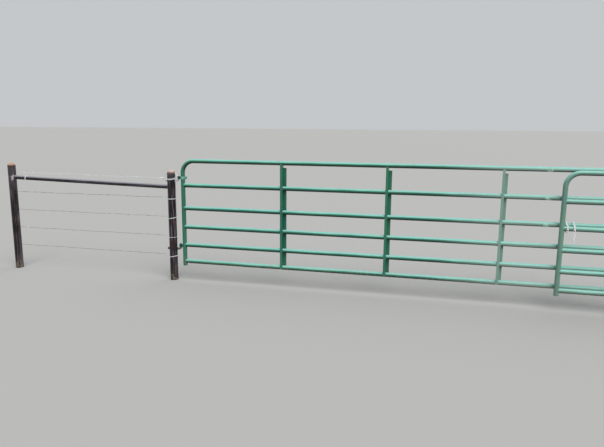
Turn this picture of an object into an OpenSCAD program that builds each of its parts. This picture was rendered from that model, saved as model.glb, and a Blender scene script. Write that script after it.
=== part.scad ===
// Double tube farm gate. Two six-rail leaves of bent round tube close one gateway. Each hangs on a
// steel pipe hinge post, which a pipe rail braces to a second post with five fence wires between.
// Origin: foot of the left hinge post, on the ground. X runs along the gateway to the right,
// Y away from the road, Z up. Millimetres.

/* [Leaves] */
// Length of a leaf between the centre lines of its end uprights
leaf_len = 4870; // [4000:10:5400]
// Distance from an end upright to the nearest stay
end_bay = 1240; // [1100:5:1300]
// Outside diameter of the tube of frame and rails
tube_d = 50.8; // [42:0.1:60]
// Wall of that tube
tube_wall = 2; // [1.5:0.1:3]
// Centre line radius of the two bends of the frame
bend_r = 140; // [110:5:180]
// Height of the lowest rail's centre line above the ground
bottom_rail_z = 245; // [200:5:300]
// Spacing of the lowest rail and the next
gap_5 = 202; // [150:1:240]
// Spacing of the fifth rail and the fourth
gap_4 = 223; // [180:1:260]
// Spacing of the fourth rail and the third
gap_3 = 228; // [190:1:270]
// Spacing of the third rail and the second
gap_2 = 276; // [230:1:320]
// Spacing of the second rail and the top
gap_1 = 290; // [250:1:340]
// Open end of an upright below the lowest rail's centre line
tail_len = 55; // [45:1:75]
// Length that both leaves cover where they meet, between the centres of their free uprights
lap_len = 667; // [450:1:900]
// Distance that the right leaf stands nearer to the road than the left one
lap_step = 66; // [64:1:80]
// Distance that the right leaf hangs lower than the left one
right_drop = 25; // [0:1:28]

/* [Stays] */
// Width of a stay's front flange, left of its web
stay_front = 26; // [20:1:34]
// Width of a stay's back flange, right of its web
stay_back = 36; // [26:1:44]
// Depth of a stay from front face to back face
stay_depth = 60; // [58:1:61]
// Thickness of a stay
stay_t = 2.5; // [1.5:0.1:3]
// Distance of the front flange's top below the top rail's centre line
stay_top = 8; // [4:1:16]
// Length by which the back flange starts lower than the top rail's underside
stay_back_low = 30; // [10:1:60]
// Distance of a stay's lower end below the lowest rail's centre line
stay_end = 16; // [10:1:22]

/* [Posts] */
// Outside diameter of a hinge post
post_d = 96; // [88:0.1:106]
// Height of a hinge post with its cap
post_h = 1355; // [1340:5:1380]
// Outside diameter of a brace post
brace_post_d = 96; // [88:0.1:115]
// Height of a brace post with its cap
brace_post_h = 1390; // [1350:1:1450]
// Distance from a hinge post to its brace post, centre to centre
post_span = 2258; // [1500:10:3000]
// Height of a post's domed cap
cap_h = 45; // [36:1:56]
// Outside diameter of the brace rail
brace_rail_d = 50.8; // [42:0.1:64]
// Height of the brace rail's centre line at the brace post
brace_high_z = 1204; // [1150:1:1230]
// Height of the brace rail's centre line at the hinge post
brace_low_z = 1149; // [1130:1:1154]

/* [Fence wires] */
// Thickness of a twisted wire strand
wire_d = 5; // [3:0.5:6]
// Height of the top strand above the upper hinge bolt
wire_over = 20.5; // [20:0.5:30]
// Spacing of the strands
wire_gap = 236.5; // [200:0.5:245]
// Number of strands
wire_count = 5; // [2:1:5]
// Rise of the top strand towards the brace post
wire_rise = 18; // [0:1:25]
// Slant of the third and fifth turns of wire round a hinge post, in degrees
turn_slant = 8; // [0:1:10]
// Thickness of the rod that a wire clip behind a brace post is bent from
clip_d = 6; // [4:0.5:8]
// Thickness of the keeper wire between a hinge post's top and the upper hinge
keeper_d = 8; // [5:0.5:8]

/* [Hinges] */
// Diameter of a hinge bolt
bolt_d = 19; // [16:0.5:22]
// Gap from the post's face to the hinge pin's axis
pin_gap = 51; // [44:0.1:60]
// Distance from the hinge pin's axis to the centre of the leaf's upright
eye_reach = 54; // [50:0.5:65]
// Centre of the lower eye below the fifth rail's centre line
low_eye_drop = 14; // [10:1:30]
// Height of the lower eye
low_eye_h = 43; // [35:1:50]
// Outside diameter of the lower eye
low_eye_d = 37; // [32:1:42]
// Centre of the upper strap below the top rail's centre line
strap_drop = 200; // [194:1:203]
// Height of the upper strap
strap_h = 32; // [26:1:36]
// Thickness of the upper strap
strap_t = 5; // [4:0.5:6]
// Length of the strap's bolted tail beyond its band
strap_tail = 18; // [14:1:26]
// Thickness of a nut on a hinge bolt
nut_t = 16; // [12:1:20]
// Width of that nut across its corners
nut_d = 33; // [28:1:38]

/* [Chain] */
// Thickness of the chain's wire
chain_d = 5.5; // [5:0.1:5.8]
// Inside length of a link
link_in = 27; // [26.8:0.1:27.5]
// Inside width of a link
link_w = 11; // [10.8:0.1:12]
// Distance between links along the chain
link_step = 23; // [22.8:0.1:23.2]
// Radius of the chain's course round a rail
chain_r = 35.5; // [35.3:0.1:36.5]
// Distance from the right leaf's free upright to the chain's first turn
chain_x = 47; // [44:1:80]
// Distance between the chain's turns
chain_pitch = 66; // [50:1:80]
// Number of links in the chain's free end, over the right leaf's rail and down
tail_links = 8; // [5:1:12]

/* [Clearances] */
// Gap between pieces that seat on each other
seat = 0.3; // [0.2:0.05:0.4]
// Gap all round a hinge pin in its eye
pin_play = 0.5; // [0.3:0.05:0.8]
// Gap between moving parts that pass close by
pass_gap = 5; // [5:0.5:8]

/* [Hidden] */
$fn = 48;

green = "#4f9479";
rusty = "#453f3c";
cap_rust = "#b56a55";
zinc = "#b8bcc0";
dark_iron = "#37423d";

tube_r = tube_d / 2;
post_r = post_d / 2;
brace_post_r = brace_post_d / 2;
wire_r = wire_d / 2;
pin_r = bolt_d / 2;

pin_x = post_r + pin_gap;
near_x = pin_x + eye_reach;
far_x = near_x + leaf_len;
inner_bay = (leaf_len - 2 * end_bay) / 2;
gateway = 2 * near_x + 2 * leaf_len - lap_len;

rail_z = [
    bottom_rail_z + gap_5 + gap_4 + gap_3 + gap_2 + gap_1,
    bottom_rail_z + gap_5 + gap_4 + gap_3 + gap_2,
    bottom_rail_z + gap_5 + gap_4 + gap_3,
    bottom_rail_z + gap_5 + gap_4,
    bottom_rail_z + gap_5,
    bottom_rail_z
];
top_z = rail_z[0];
tail_z = bottom_rail_z - tail_len;
stay_x = [near_x + end_bay, near_x + end_bay + inner_bay, near_x + end_bay + 2 * inner_bay];

elbow_r = bolt_d;
low_eye_z = rail_z[4] - low_eye_drop;
strap_z = top_z - strap_drop;
low_bolt_z = low_eye_z - low_eye_h / 2 - seat - elbow_r;
high_bolt_z = strap_z - strap_h / 2 - seat - elbow_r;
wire_top_z = high_bolt_z + wire_over;
pin_over = 10;
bolt_tail = 10;
strap_inner = tube_r + seat;
strap_ring = pin_r + pin_play + strap_t;
strap_slit = 4;
clamp_d = 9;

wrap_r = post_r + seat + wire_r;
turn_slants = [0, 0, turn_slant, 0, turn_slant];
brace_strand_y = brace_post_r + seat + wire_r;
clip_r = wire_r + seat + clip_d / 2;
keeper_z = strap_z + strap_h / 2 + seat + keeper_d / 2;
free_x = gateway - far_x;
chain_lean = atan(right_drop / lap_step);
link_reach = (link_w + chain_d) / 2 * sin(45) + chain_d / 2;
chain_sag = chain_r - tube_r - link_reach - seat;
hang_step = link_in - seat;

keeper_loop_r = pin_r + pin_play + seat + keeper_d / 2;
keeper_turn_rise = keeper_d + 1;
keeper_start = 150;
keeper_start_z = wire_top_z + wire_rise * keeper_start / post_span + wire_r + keeper_d / 2 + seat;
keeper_tie = 25;
post_top = post_h - cap_h;
keeper_bends = [
    [25, 63, wire_top_z + 23],
    [18, 41, post_top - 12],
    [20, 24, post_top + 10],
    [48, 14, post_top + 22],
    [90, 13, post_top + 18],
    [132, 9.5, post_top],
    [164, 14, keeper_z + 16]
];

// Draws on the left side, with hinges, leaf and chain at their full height.
module on_left() {
    children();
}

// Draws the mirror image for the right side of the gateway.
module on_right() {
    translate([gateway, -lap_step, 0]) mirror([1, 0, 0]) children();
}

// A round bar between two points.
module bar(from, to, d) {
    run = to - from;
    length = norm(run);
    lean = acos(run[2] / length);
    turn = atan2(run[1], run[0]);
    translate(from) rotate([0, lean, turn]) cylinder(h = length, d = d);
}

// A round ring about a vertical axis.
module ring(radius, d) {
    rotate_extrude() translate([radius, 0]) circle(d = d, $fn = 24);
}

// Radius of the given turn of wire round a hinge post: a slanted turn is a little wider.
function turn_r(number) = wrap_r / cos(turn_slants[number]);

// Distance of the given strand behind a hinge post's axis.
function strand_y(number) = turn_r(number) + wire_d + seat;

function unit(v) = v / norm(v);

// Points of a smooth curve through the given ones, with the given steps between each two.
function smooth(p, steps) = [
    for (i = [0 : len(p) - 2], j = [0 : steps - 1])
        let (a = p[max(i - 1, 0)], b = p[i], c = p[i + 1], d = p[min(i + 2, len(p) - 1)], t = j / steps)
            b + ((c - a) * t + (2 * a - 5 * b + 4 * c - d) * t * t
                + (3 * b - a - 3 * c + d) * t * t * t) / 2,
    p[len(p) - 1]
];

// A round wire along a path that is never upright, closed at both ends.
module sweep(path, d, sides) {
    last = len(path) - 1;
    rings = [for (i = [0 : last])
        let (along = unit(path[min(i + 1, last)] - path[max(i - 1, 0)]),
             across = unit(cross(along, [0, 0, 1])), up = cross(across, along))
            for (k = [0 : sides - 1])
                path[i] + d / 2 * (across * cos(k * 360 / sides) + up * sin(k * 360 / sides))];
    walls = [for (i = [0 : last - 1], k = [0 : sides - 1])
        let (a = i * sides + k, b = i * sides + (k + 1) % sides)
            each [[a, b, b + sides], [a, b + sides, a + sides]]];
    ends = [[for (k = [sides - 1 : -1 : 0]) k], [for (k = [0 : sides - 1]) last * sides + k]];
    polyhedron(points = rings, faces = concat(walls, ends));
}

module pipe_post(d, height) {
    cylinder(h = height - cap_h - seat, d = d);
}

module brace_post() {
    color(rusty) translate([-post_span, 0, 0]) pipe_post(brace_post_d, brace_post_h);
}

// The hinge post is drilled for its two bolts, which sit lower by drop on the right side.
module hinge_post(drop) {
    color(rusty) difference() {
        pipe_post(post_d, post_h);
        for (z = [low_bolt_z, high_bolt_z])
            translate([0, 0, z - drop]) rotate([0, 90, 0])
                cylinder(h = post_d * 2, d = bolt_d + 2 * seat, center = true);
    }
}

// A domed cap: the dome is an arc over a short straight rim.
module post_cap(d, height) {
    rim = cap_h / 4;
    rise = cap_h - rim;
    dome_r = (d * d / 4 + rise * rise) / (2 * rise);
    color(cap_rust) translate([0, 0, height - cap_h]) rotate_extrude($fn = 64) intersection() {
        translate([0, rise + rim - dome_r]) circle(r = dome_r, $fn = 96);
        square([d / 2, cap_h]);
    }
}

module hinge_post_cap() {
    post_cap(post_d, post_h);
}

module brace_post_cap() {
    translate([-post_span, 0, 0]) post_cap(brace_post_d, brace_post_h);
}

// The brace rail slopes down to the hinge post, and each end is coped to fit its post.
module brace_rail() {
    color(rusty) difference() {
        bar([-post_span, 0, brace_high_z], [0, 0, brace_low_z], brace_rail_d);
        cylinder(h = 2 * post_h, r = post_r + seat);
        translate([-post_span, 0, 0]) cylinder(h = 2 * post_h, r = brace_post_r + seat);
    }
}

// A rod bent round a strand, its two legs coped to the back of a brace post.
module wire_clip() {
    difference() {
        union() {
            translate([0, brace_strand_y, 0]) rotate([0, 90, 0])
                rotate_extrude(angle = 180) translate([clip_r, 0]) circle(d = clip_d, $fn = 24);
            for (side = [-1, 1])
                translate([0, brace_strand_y, side * clip_r]) rotate([90, 0, 0])
                    cylinder(h = brace_strand_y, d = clip_d, $fn = 24);
        }
        translate([0, 0, -2 * clip_r]) cylinder(h = 4 * clip_r, r = brace_post_r + seat);
    }
}

// Each strand runs behind both posts. A turn of wire holds it to the hinge post, a clip to the other.
module fence_wires() {
    color(zinc) for (k = [0 : wire_count - 1]) {
        z = wire_top_z - k * wire_gap;
        far_z = z + (k == 0 ? wire_rise : 0);
        near = [0, strand_y(k), z];
        far = [-post_span, brace_strand_y, far_z];
        along = unit(near - far);
        translate([0, 0, z]) rotate([0, -turn_slants[k], 0]) ring(turn_r(k), wire_d);
        translate([-post_span, 0, far_z]) wire_clip();
        bar(far - along * brace_post_r / 2, near + along * post_r / 2, wire_d);
    }
}

// A hinge bolt runs through the post, turns up in an elbow and ends as the upright hinge pin.
module hinge_bolt(z, pin_top) {
    start_x = -post_r - seat - nut_t - bolt_tail;
    color(zinc) translate([0, 0, z]) {
        translate([start_x, 0, 0]) rotate([0, 90, 0])
            cylinder(h = pin_x - elbow_r - start_x, d = bolt_d);
        translate([pin_x - elbow_r, 0, elbow_r]) rotate([90, 0, 0])
            rotate([0, 0, -90]) rotate_extrude(angle = 90) translate([elbow_r, 0]) circle(d = bolt_d);
        translate([pin_x, 0, elbow_r]) cylinder(h = pin_top - z - elbow_r, d = bolt_d);
    }
}

module lower_hinge_bolt(drop) {
    hinge_bolt(low_bolt_z - drop, low_eye_z + low_eye_h / 2 + pin_over - drop);
}

module upper_hinge_bolt(drop) {
    hinge_bolt(high_bolt_z - drop, keeper_z + keeper_turn_rise + pin_over - drop);
}

// Each bolt has a nut on both sides of the post, with a flat on top.
module hinge_nuts(drop) {
    color(dark_iron) for (z = [low_bolt_z, high_bolt_z], x = [-post_r - seat - nut_t, post_r + seat])
        translate([x, 0, z - drop]) rotate([0, 90, 0]) difference() {
            rotate([0, 0, 30]) cylinder(h = nut_t, d = nut_d, $fn = 6);
            translate([0, 0, -1]) cylinder(h = nut_t + 2, d = bolt_d + 2 * seat);
        }
}

// The keeper wire leaves the top strand, passes behind the cap and turns once round the upper pin.
// Each bend on the way has its angle round the post, its distance from the post's face and its height.
module keeper_wire(drop) {
    tie = [
        [-keeper_start, strand_y(0), keeper_start_z],
        [-keeper_start + keeper_tie, strand_y(0), keeper_start_z + 2]
    ];
    course = [for (b = keeper_bends)
        [-(post_r + b[1]) * cos(b[0]), (post_r + b[1]) * sin(b[0]), b[2]]];
    turn = [for (a = [0 : 30 : 315])
        [pin_x + keeper_loop_r * sin(a), keeper_loop_r * cos(a),
         keeper_z + keeper_turn_rise * (1 - a / 315) - drop]];
    color(zinc) sweep(smooth(concat(tie, course, turn), 3), keeper_d, 10);
}

// One tube bent into both uprights and the top rail, its lower ends left open.
module leaf_frame(drop) {
    upright_h = top_z - bend_r - tail_z;
    color(green) translate([0, 0, -drop]) difference() {
        union() {
            for (x = [near_x, far_x])
                translate([x, 0, tail_z]) cylinder(h = upright_h, d = tube_d);
            translate([near_x + bend_r, 0, top_z - bend_r]) rotate([90, 0, 0]) rotate([0, 0, 90])
                rotate_extrude(angle = 90) translate([bend_r, 0]) circle(d = tube_d);
            translate([far_x - bend_r, 0, top_z - bend_r]) rotate([90, 0, 0])
                rotate_extrude(angle = 90) translate([bend_r, 0]) circle(d = tube_d);
            translate([near_x + bend_r, 0, top_z]) rotate([0, 90, 0])
                cylinder(h = leaf_len - 2 * bend_r, d = tube_d);
        }
        for (x = [near_x, far_x])
            translate([x, 0, tail_z - 1]) cylinder(h = tail_len + 1, d = tube_d - 2 * tube_wall);
    }
}

// A rail is coped at both ends to the round of the uprights.
module leaf_rail(number, drop) {
    z = rail_z[number - 1] - drop;
    color(green) difference() {
        translate([near_x, 0, z]) rotate([0, 90, 0]) cylinder(h = leaf_len, d = tube_d);
        for (x = [near_x, far_x])
            translate([x, 0, z - tube_d]) cylinder(h = 2 * tube_d, r = tube_r + seat);
    }
}

// A stay is a folded strip: its web stands between two flanges and is pierced by the rails.
module leaf_stay(number, drop) {
    low_z = bottom_rail_z - stay_end;
    high_z = top_z - stay_top;
    half = stay_depth / 2;
    color(green) translate([stay_x[number - 1], 0, -drop]) difference() {
        translate([0, 0, low_z]) linear_extrude(height = high_z - low_z) union() {
            translate([-stay_t / 2, -half]) square([stay_t, stay_depth]);
            translate([-stay_front, -half]) square([stay_front + stay_t / 2, stay_t]);
            translate([-stay_t / 2, half - stay_t]) square([stay_back + stay_t / 2, stay_t]);
        }
        for (z = rail_z)
            translate([0, 0, z]) rotate([0, 90, 0])
                cylinder(h = 4 * stay_t, r = tube_r + seat, center = true);
        translate([-stay_t, tube_r + seat / 2, top_z - tube_r - stay_back_low])
            cube([stay_back + 2 * stay_t, half, tube_d + stay_back_low]);
    }
}

// The lower eye is a short tube on a plate, coped to the upright.
module lower_eye(drop) {
    color(green) translate([0, 0, low_eye_z - low_eye_h / 2 - drop]) difference() {
        union() {
            translate([pin_x, 0, 0]) cylinder(h = low_eye_h, d = low_eye_d);
            translate([pin_x, -strap_t, 0]) cube([eye_reach, 2 * strap_t, low_eye_h]);
        }
        translate([pin_x, 0, -1]) cylinder(h = low_eye_h + 2, r = pin_r + pin_play);
        translate([near_x, 0, -1]) cylinder(h = low_eye_h + 2, r = tube_r + seat);
    }
}

// The upper strap runs round the pin and the upright, and a bolt clamps its two tails.
module upper_strap(drop) {
    band = strap_inner + strap_t;
    tail_x = near_x + band + strap_tail / 2;
    tail_half = strap_slit / 2 + strap_t;
    translate([0, 0, strap_z - drop]) {
        color(green) difference() {
            translate([0, 0, -strap_h / 2]) linear_extrude(height = strap_h) difference() {
                union() {
                    translate([pin_x, 0]) circle(r = strap_ring);
                    translate([near_x, 0]) circle(r = band);
                    translate([pin_x, -strap_ring / 2]) square([eye_reach, strap_ring]);
                    translate([near_x, -tail_half]) square([band + strap_tail, 2 * tail_half]);
                }
                translate([pin_x, 0]) circle(r = pin_r + pin_play);
                translate([near_x, 0]) circle(r = strap_inner);
                translate([near_x, -strap_slit / 2]) square([band + strap_tail + 1, strap_slit]);
            }
            translate([tail_x, 0, 0]) rotate([90, 0, 0])
                cylinder(h = 4 * tail_half, d = clamp_d + 2 * seat, center = true);
        }
        color(zinc) translate([tail_x, 0, 0]) rotate([90, 0, 0]) {
            cylinder(h = 2 * (tail_half + seat + clamp_d), d = clamp_d, center = true);
            for (side = [-1, 1])
                translate([0, 0, side * (tail_half + seat + clamp_d / 2) - clamp_d / 2])
                    cylinder(h = clamp_d, d = 2 * clamp_d, $fn = 6);
        }
    }
}

// An oval link: two half rings joined by two straight sides. Its length lies along X.
module link() {
    side_r = (link_w + chain_d) / 2;
    half = (link_in + chain_d) / 2 - side_r;
    for (turn = [0, 180])
        rotate([0, 0, turn]) translate([half, 0, 0]) rotate([0, 0, -90])
            rotate_extrude(angle = 180) translate([side_r, 0]) circle(d = chain_d, $fn = 24);
    for (y = [-side_r, side_r])
        translate([-half, y, 0]) rotate([0, 90, 0]) cylinder(h = 2 * half, d = chain_d, $fn = 24);
}

// Place and lean of a spot on the chain's course. The course starts midway between the two leaves,
// runs straight to the top of a rail, bends round it by the given angle and goes straight on.
function chain_spot(s, run, bend) =
    let (arc = chain_r * bend * PI / 180, a = (s - run) / chain_r * 180 / PI, on = s - run - arc)
        s < run ? [s - run, chain_r, 0]
        : s < run + arc ? [chain_r * sin(a), chain_r * cos(a), -a]
        : [chain_r * sin(bend) + on * cos(bend), chain_r * cos(bend) - on * sin(bend), -bend];

// Links along such a course, each turned a quarter from the last. Those of a half turn stop short
// of the other leaf's. The free end starts as they do, and past its bend each link hangs in the last.
module chain_run(bend, links) {
    run = norm([lap_step, right_drop]) / 2;
    course = 2 * run + PI * chain_r;
    half_links = floor((course - pass_gap - link_in - 2 * chain_d) / link_step) + 1;
    first = (course - (half_links - 1) * link_step) / 2;
    bent = links == 0 ? half_links : ceil((run + chain_r * bend * PI / 180 - first) / link_step);
    for (k = [0 : (links == 0 ? half_links : links) - 1]) {
        way = k < bent ? k * link_step : (bent - 0.5) * link_step + (k - bent + 0.5) * hang_step;
        spot = chain_spot(first + way, run, bend);
        translate([0, spot[0], spot[1]]) rotate([spot[2], 0, 0]) rotate([0, 0, 90])
            rotate([k % 2 == 0 ? 45 : -45, 0, 0]) link();
    }
}

module half_turn() {
    chain_run(180, 0);
}

// The two half turns that stay with the left leaf, behind its third rail.
module left_chain() {
    color(zinc) for (turn = [0, 1])
        translate([free_x + chain_x + turn * chain_pitch, 0, rail_z[2] - chain_sag])
            rotate([chain_lean, 0, 0]) half_turn();
}

// The half turn and the free end that stay with the right leaf, in front of its third rail.
module right_chain() {
    color(zinc) translate([free_x + chain_x, -lap_step, rail_z[2] - right_drop - chain_sag]) {
        rotate([180 + chain_lean, 0, 0]) half_turn();
        translate([chain_pitch, 0, 0]) rotate([chain_lean, 0, 0]) mirror([0, 1, 0])
            chain_run(90 - chain_lean, tail_links);
    }
}

on_left() brace_post();  // left_brace_post
on_left() brace_post_cap();  // left_brace_post_cap
on_left() hinge_post(0);  // left_hinge_post
on_left() hinge_post_cap();  // left_hinge_post_cap
on_left() brace_rail();  // left_brace_rail
on_left() fence_wires();  // left_fence_wires
on_left() lower_hinge_bolt(0);  // left_lower_hinge_bolt
on_left() upper_hinge_bolt(0);  // left_upper_hinge_bolt
on_left() hinge_nuts(0);  // left_hinge_nuts
on_left() keeper_wire(0);  // left_keeper_wire
on_left() leaf_frame(0);  // left_frame
on_left() leaf_rail(2, 0);  // left_rail_2
on_left() leaf_rail(3, 0);  // left_rail_3
on_left() leaf_rail(4, 0);  // left_rail_4
on_left() leaf_rail(5, 0);  // left_rail_5
on_left() leaf_rail(6, 0);  // left_rail_6
on_left() leaf_stay(1, 0);  // left_stay_1
on_left() leaf_stay(2, 0);  // left_stay_2
on_left() leaf_stay(3, 0);  // left_stay_3
on_left() lower_eye(0);  // left_lower_eye
on_left() upper_strap(0);  // left_upper_strap
left_chain();

on_right() brace_post();  // right_brace_post
on_right() brace_post_cap();  // right_brace_post_cap
on_right() hinge_post(right_drop);  // right_hinge_post
on_right() hinge_post_cap();  // right_hinge_post_cap
on_right() brace_rail();  // right_brace_rail
on_right() fence_wires();  // right_fence_wires
on_right() lower_hinge_bolt(right_drop);  // right_lower_hinge_bolt
on_right() upper_hinge_bolt(right_drop);  // right_upper_hinge_bolt
on_right() hinge_nuts(right_drop);  // right_hinge_nuts
on_right() keeper_wire(right_drop);  // right_keeper_wire
on_right() leaf_frame(right_drop);  // right_frame
on_right() leaf_rail(2, right_drop);  // right_rail_2
on_right() leaf_rail(3, right_drop);  // right_rail_3
on_right() leaf_rail(4, right_drop);  // right_rail_4
on_right() leaf_rail(5, right_drop);  // right_rail_5
on_right() leaf_rail(6, right_drop);  // right_rail_6
on_right() leaf_stay(1, right_drop);  // right_stay_1
on_right() leaf_stay(2, right_drop);  // right_stay_2
on_right() leaf_stay(3, right_drop);  // right_stay_3
on_right() lower_eye(right_drop);  // right_lower_eye
on_right() upper_strap(right_drop);  // right_upper_strap
right_chain();
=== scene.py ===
# %% [markdown]
# This lesson dresses a pair of round-tube farm gates that hang on old pipe posts, with barbed
# fence wire between each pair of posts. The tubes, posts, hinges and chain come from the CAD
# model as a fixed frame, so nothing here decides a size that matters. Blender adds what a drawing
# leaves out: faded paint, rust, twisted wire, barbs, weld beads and screw threads.
# Every length is in metres, in the frame's own axes: X along the gateway, Y away from the road
# and Z up from the ground.

# %% Load the frame
import math

import bpy
from mathutils import Matrix, Vector


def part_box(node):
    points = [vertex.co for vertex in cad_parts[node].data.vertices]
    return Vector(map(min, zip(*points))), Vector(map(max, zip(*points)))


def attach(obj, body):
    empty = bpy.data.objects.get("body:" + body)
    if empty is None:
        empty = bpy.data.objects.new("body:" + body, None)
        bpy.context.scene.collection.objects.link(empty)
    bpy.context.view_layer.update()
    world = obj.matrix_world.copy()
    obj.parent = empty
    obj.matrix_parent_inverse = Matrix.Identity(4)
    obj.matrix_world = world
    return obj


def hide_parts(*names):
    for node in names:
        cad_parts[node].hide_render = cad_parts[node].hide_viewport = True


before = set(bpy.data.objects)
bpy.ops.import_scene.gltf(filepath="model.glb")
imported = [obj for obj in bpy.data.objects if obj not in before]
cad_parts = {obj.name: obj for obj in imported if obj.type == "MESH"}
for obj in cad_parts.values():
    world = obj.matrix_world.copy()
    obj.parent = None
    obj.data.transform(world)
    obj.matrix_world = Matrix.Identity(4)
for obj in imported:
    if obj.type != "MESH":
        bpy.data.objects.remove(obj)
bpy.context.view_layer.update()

# %% [markdown]
# The camera comes first, because every finish is judged through it. A camera fitted to the
# straight rails and upright posts gave its place, its aim and its lens. An aim is easiest to
# write as three turns of a compass and a level: which way, how far down, and how far the
# horizon leans. The camera looks along its own -Z, so its matrix is made of the three
# directions rightwards, upwards and back.

# %% Camera
CAMERA_PLACE = Vector((3.097, -6.014, 1.870))
CAMERA_TURN = math.radians(-13.781)
CAMERA_DIP = math.radians(9.983)
CAMERA_LEAN = math.radians(0.402)
CAMERA_LENS = 32.668
CAMERA_FAR = 1500

ahead = Vector((math.sin(CAMERA_TURN) * math.cos(CAMERA_DIP),
                math.cos(CAMERA_TURN) * math.cos(CAMERA_DIP), -math.sin(CAMERA_DIP)))
level = Vector((math.cos(CAMERA_TURN), -math.sin(CAMERA_TURN), 0))
upright = level.cross(ahead)
rightwards = level * math.cos(CAMERA_LEAN) + upright * math.sin(CAMERA_LEAN)
upwards = upright * math.cos(CAMERA_LEAN) - level * math.sin(CAMERA_LEAN)

camera = bpy.data.objects.new("camera", bpy.data.cameras.new("camera"))
camera.data.lens = CAMERA_LENS
camera.data.sensor_fit = "HORIZONTAL"
camera.data.clip_end = CAMERA_FAR
aim = Matrix((rightwards, upwards, -ahead)).transposed().to_4x4()
camera.matrix_world = Matrix.Translation(CAMERA_PLACE) @ aim
bpy.context.scene.collection.objects.link(camera)
bpy.context.scene.camera = camera
print("camera looks along", tuple(round(x, 3) for x in ahead))

# %% [markdown]
# Green gloss paint on a round tube shows a bright band where the sky is reflected. A soft lamp high
# above the road side makes that band, in the upper part of each tube, together with a painted highlight
# in the gate's paint. It stands to the right, so that the open sides of the stays are lit too. A weaker
# lamp from behind keeps the far side readable, and a pale sky fills the rest. The floor is plain and
# pale, so that the object alone is looked at.

# %% Light and floor
LAMP_SOFTNESS = math.radians(50)
SKY_COLOUR = (0.84, 0.87, 0.89, 1)
SKY_STRENGTH = 0.66
FLOOR_COLOUR = (0.385, 0.382, 0.372, 1)
FLOOR_ROUGHNESS = 0.95
FLOOR_HALF = 500


def far_lamp(name, towards, strength, colour):
    """A far, soft lamp whose light comes from the given direction."""
    data = bpy.data.lights.new(name, "SUN")
    data.energy = strength
    data.angle = LAMP_SOFTNESS
    data.color = colour
    lamp = bpy.data.objects.new(name, data)
    lamp.rotation_mode = "QUATERNION"
    lamp.rotation_quaternion = Vector(towards).to_track_quat("Z", "Y")
    bpy.context.scene.collection.objects.link(lamp)


far_lamp("key_lamp", towards=(0.45, -0.72, 1.0), strength=2.5, colour=(1.0, 0.99, 0.97))
far_lamp("back_lamp", towards=(0.5, 0.8, 0.9), strength=0.5, colour=(0.95, 0.98, 1.0))

sky = bpy.data.worlds.new("pale_sky")
sky.use_nodes = True
sky_light = sky.node_tree.nodes["Background"].inputs
sky_light["Color"].default_value = SKY_COLOUR
sky_light["Strength"].default_value = SKY_STRENGTH
bpy.context.scene.world = sky
bpy.context.scene.view_settings.view_transform = "Standard"

floor_mesh = bpy.data.meshes.new("floor")
floor_mesh.from_pydata(
    [(x * FLOOR_HALF, y * FLOOR_HALF, 0) for x, y in ((-1, -1), (1, -1), (1, 1), (-1, 1))],
    [], [(0, 1, 2, 3)])
floor_paper = bpy.data.materials.new("floor_paper")
floor_paper.use_nodes = True
floor_look = floor_paper.node_tree.nodes["Principled BSDF"].inputs
floor_look["Base Color"].default_value = FLOOR_COLOUR
floor_look["Roughness"].default_value = FLOOR_ROUGHNESS
floor_mesh.materials.append(floor_paper)
floor = bpy.data.objects.new("floor", floor_mesh)
bpy.context.scene.collection.objects.link(floor)
print("two lamps, a sky and a floor", 2 * FLOOR_HALF, "m across")

# %% [markdown]
# Both materials and Geometry Nodes are trees of nodes, and much of each tree is arithmetic. A
# Reading stands for one output of a node, and knows how to add, subtract, multiply and divide
# itself. A mask can then be written as a sum, as in 1 - wet * dirty, and each sign adds its own
# Math node to the tree.

# %% Readings that work in sums
class Reading:
    """A socket's value, which can be used in sums like a number."""

    def __init__(self, tree, socket):
        self.tree = tree
        self.socket = socket

    def maths(self, operation, *values):
        return self.tree.add("ShaderNodeMath", {"operation": operation}, dict(enumerate(values)))

    def __add__(self, other):
        return self.maths("ADD", self, other)

    def __sub__(self, other):
        return self.maths("SUBTRACT", self, other)

    def __rsub__(self, other):
        return self.maths("SUBTRACT", other, self)

    def __mul__(self, other):
        return self.maths("MULTIPLY", self, other)

    def __truediv__(self, other):
        return self.maths("DIVIDE", self, other)

    def __rtruediv__(self, other):
        return self.maths("DIVIDE", other, self)

    def __abs__(self):
        return self.maths("ABSOLUTE", self)

    def most(self, other):
        return self.maths("MAXIMUM", self, other)

    __radd__ = __add__
    __rmul__ = __mul__


print("readings ready")

# %% [markdown]
# Every node comes from Tree.add, the Math nodes too. It makes a node, sets it up, fills its
# sockets and returns one of its outputs as a Reading. A socket is found by its place, its
# identifier or its name, since some nodes have several sockets of one name.

# %% Trees of nodes
def pick(sockets, key):
    """The socket with that place, identifier or name."""
    if isinstance(key, int):
        return sockets[key]
    same = [s for s in sockets if s.identifier == key] or [s for s in sockets if s.name == key]
    return same[0]


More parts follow.
